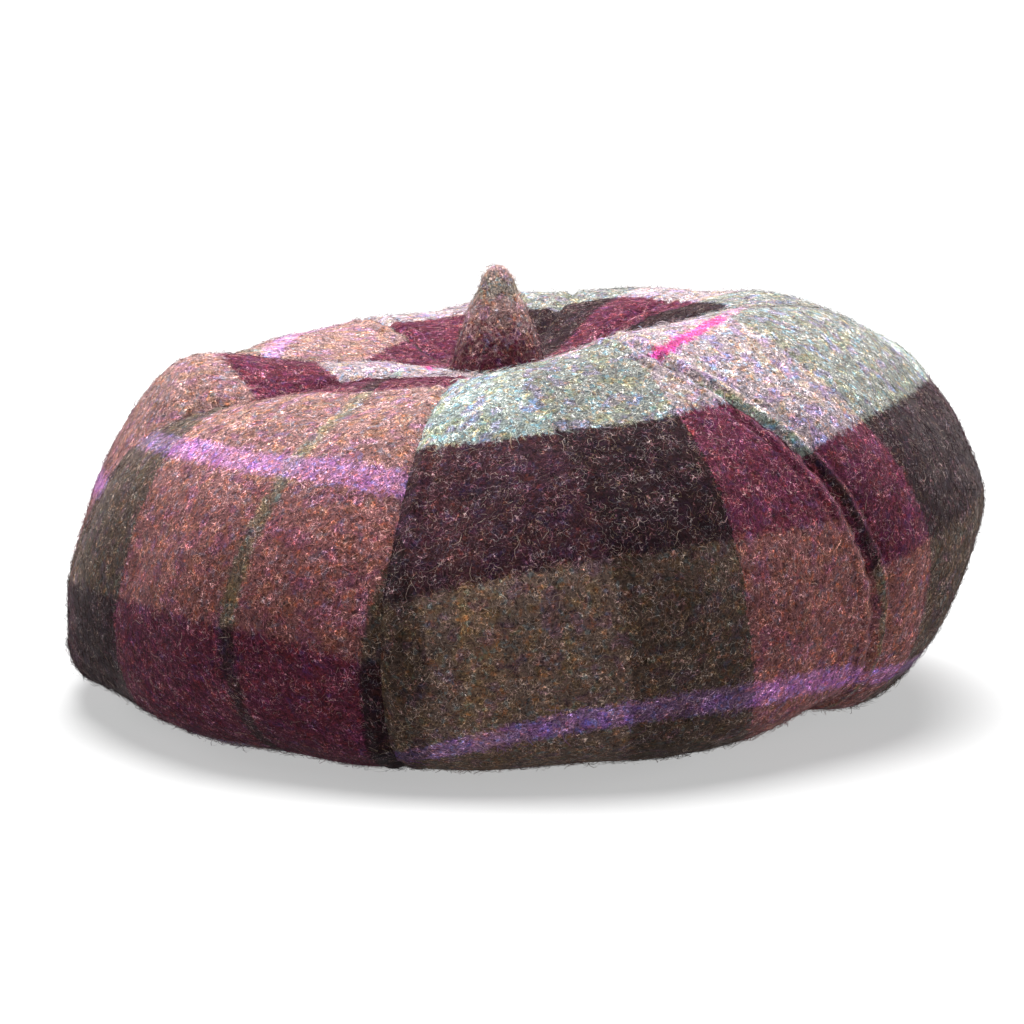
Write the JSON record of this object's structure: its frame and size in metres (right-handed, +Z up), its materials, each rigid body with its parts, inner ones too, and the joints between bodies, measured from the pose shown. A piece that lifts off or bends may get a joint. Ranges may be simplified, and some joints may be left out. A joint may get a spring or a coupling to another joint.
{
  "type": "tam o shanter",
  "caption": "Round soft tweed tam with a wide crown of sewn gores that droops over a narrow headband, a dip in the middle and a small peak at its centre.",
  "frame": {"origin": "middle of the hat's bounding box, on the surface that the hat rests on", "axes": "+Z up, -Y towards the front in the picture's view, +X to the right of that view"},
  "size_m": [0.2734, 0.2674, 0.1275],
  "materials": {
    "tweed": "felted wool tweed in a tartan of olive, rose, plum and pale sage",
    "band_tweed": "plain dark wool tweed"
  },
  "bodies": {
    "root": {"gore_front_right": "tweed", "gore_right": "tweed", "gore_rear_far_right": "tweed", "gore_rear_right": "tweed", "gore_rear_left": "tweed", "gore_rear_far_left": "tweed", "gore_left": "tweed", "gore_front_left": "tweed", "peak": "tweed", "headband": "band_tweed"}
  },
  "joints": []
}
